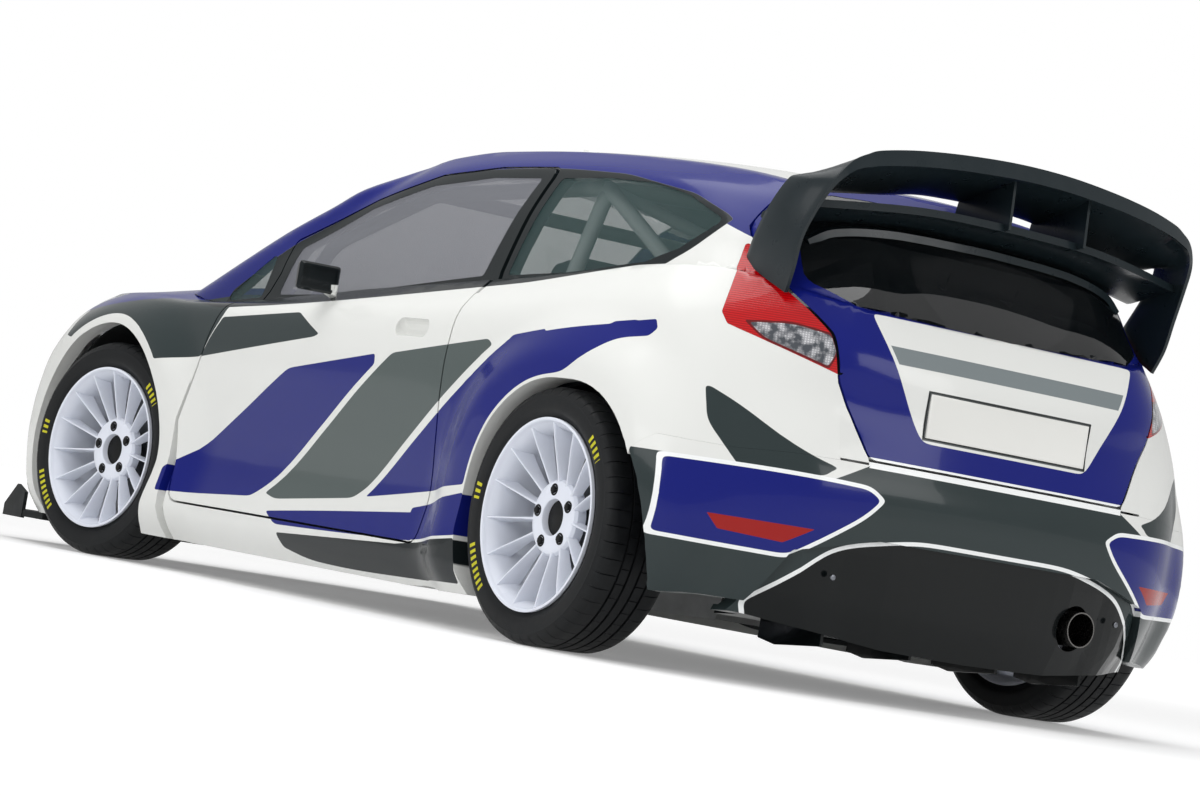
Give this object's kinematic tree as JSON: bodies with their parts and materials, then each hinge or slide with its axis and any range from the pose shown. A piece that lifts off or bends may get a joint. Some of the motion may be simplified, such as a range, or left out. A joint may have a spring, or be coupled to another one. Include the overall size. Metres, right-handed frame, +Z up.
{
  "type": "rally car",
  "caption": "Three-door rally hatchback with blistered wheel arches, high rear wing, roll cage, opening doors, bonnet and tailgate, steered front wheels",
  "frame": {"origin": "on the ground, under the middle of the car's length and width", "axes": "+X forward, +Y to the car's left, +Z up"},
  "size_m": [3.9615, 1.9112, 1.385],
  "materials": {
    "body_paint": "gloss off-white with blue and grey panels",
    "blue_paint": "gloss blue",
    "shell_paint": "satin pale grey",
    "dark_plastic": "matt",
    "lamp_lens": "gloss",
    "wing_skin": "satin",
    "glass": "tinted",
    "cage_paint": "satin",
    "seat_cloth": "matt",
    "cast_metal": "as cast",
    "exhaust_steel": "satin",
    "chassis_steel": "satin",
    "wheel_grip": "suede-like",
    "rim_paint": "gloss pale silver",
    "tyre_rubber": "matt"
  },
  "bodies": {
    "car": {"floor_pan": "shell_paint", "bulkhead": "shell_paint", "roof": "body_paint", "side_frame_left": "body_paint", "side_frame_right": "body_paint", "rear_panel": "shell_paint", "front_wing_left": "body_paint", "front_wing_right": "body_paint", "front_bumper": "body_paint", "grille": "dark_plastic", "splitter": "dark_plastic", "lamps": "lamp_lens", "rear_bumper": "body_paint", "diffuser": "dark_plastic", "wheel_arches": "dark_plastic", "fixed_glass": "glass", "roll_cage": "cage_paint", "seats": "seat_cloth", "dashboard": "dark_plastic", "engine": "cast_metal", "driveline": "cast_metal", "exhaust": "exhaust_steel", "suspension_arms": "chassis_steel"},
    "bonnet": {"bonnet": "blue_paint"},
    "door_left": {"door_left": "body_paint", "door_glass_left": "glass", "mirror_left": "wing_skin"},
    "door_right": {"door_right": "body_paint", "door_glass_right": "glass", "mirror_right": "wing_skin"},
    "tailgate": {"tailgate": "body_paint", "rear_glass": "glass", "rear_wing": "wing_skin"},
    "knuckle_left": {"front_knuckle_left": "chassis_steel"},
    "knuckle_right": {"front_knuckle_right": "chassis_steel"},
    "wheel_front_left": {"rim_front_left": "rim_paint", "tyre_front_left": "tyre_rubber"},
    "wheel_front_right": {"rim_front_right": "rim_paint", "tyre_front_right": "tyre_rubber"},
    "wheel_rear_left": {"rim_rear_left": "rim_paint", "tyre_rear_left": "tyre_rubber"},
    "wheel_rear_right": {"rim_rear_right": "rim_paint", "tyre_rear_right": "tyre_rubber"},
    "steering_wheel": {"steering_wheel": "wheel_grip"}
  },
  "joints": [
    {"name": "bonnet_hinge", "type": "hinge", "parent": "car", "child": "bonnet", "pos_m": [1.17, 0, 0.885], "axis": [0, -1, 0], "range_deg": [0, 50]},
    {"name": "door_left_hinge", "type": "hinge", "parent": "car", "child": "door_left", "pos_m": [0.724, 0.862, 0.6], "axis": [0, 0, -1], "range_deg": [0, 65]},
    {"name": "door_right_hinge", "type": "hinge", "parent": "car", "child": "door_right", "pos_m": [0.724, -0.862, 0.6], "axis": [0, 0, 1], "range_deg": [0, 65]},
    {"name": "tailgate_hinge", "type": "hinge", "parent": "car", "child": "tailgate", "pos_m": [-1.52, 0, 1.285], "axis": [0, 1, 0], "range_deg": [0, 70]},
    {"name": "steering_left", "type": "hinge", "parent": "car", "child": "knuckle_left", "pos_m": [1.1995, 0.702, 0.32577], "axis": [0, -0.2113, 0.9774], "range_deg": [-41, 19]},
    {"name": "steering_right", "type": "hinge", "parent": "car", "child": "knuckle_right", "pos_m": [1.1995, -0.702, 0.32577], "axis": [0, 0.2113, 0.9774], "range_deg": [-41, 19]},
    {"name": "wheel_front_left_spin", "type": "hinge", "parent": "knuckle_left", "child": "wheel_front_left", "pos_m": [1.18272, 0.79042, 0.32543], "axis": [-0.1865, 0.9824, -0.0038], "continuous": true},
    {"name": "wheel_front_right_spin", "type": "hinge", "parent": "knuckle_right", "child": "wheel_front_right", "pos_m": [1.21628, -0.79042, 0.32543], "axis": [-0.1865, 0.9824, 0.0038], "continuous": true},
    {"name": "wheel_rear_left_spin", "type": "hinge", "parent": "car", "child": "wheel_rear_left", "pos_m": [-1.2805, 0.792, 0.325], "axis": [0, 1, 0], "continuous": true},
    {"name": "wheel_rear_right_spin", "type": "hinge", "parent": "car", "child": "wheel_rear_right", "pos_m": [-1.2805, -0.792, 0.325], "axis": [0, 1, 0], "continuous": true},
    {"name": "steering_wheel_turn", "type": "hinge", "parent": "car", "child": "steering_wheel", "pos_m": [0.175, 0.352, 0.735], "axis": [-0.9063, 0, 0.4226], "range_deg": [-330, 155]}
  ],
  "couplings": [
    {"joint": "steering_right", "follows": "steering_left", "ratio": 1},
    {"joint": "steering_wheel_turn", "follows": "steering_left", "ratio": 8}
  ]
}
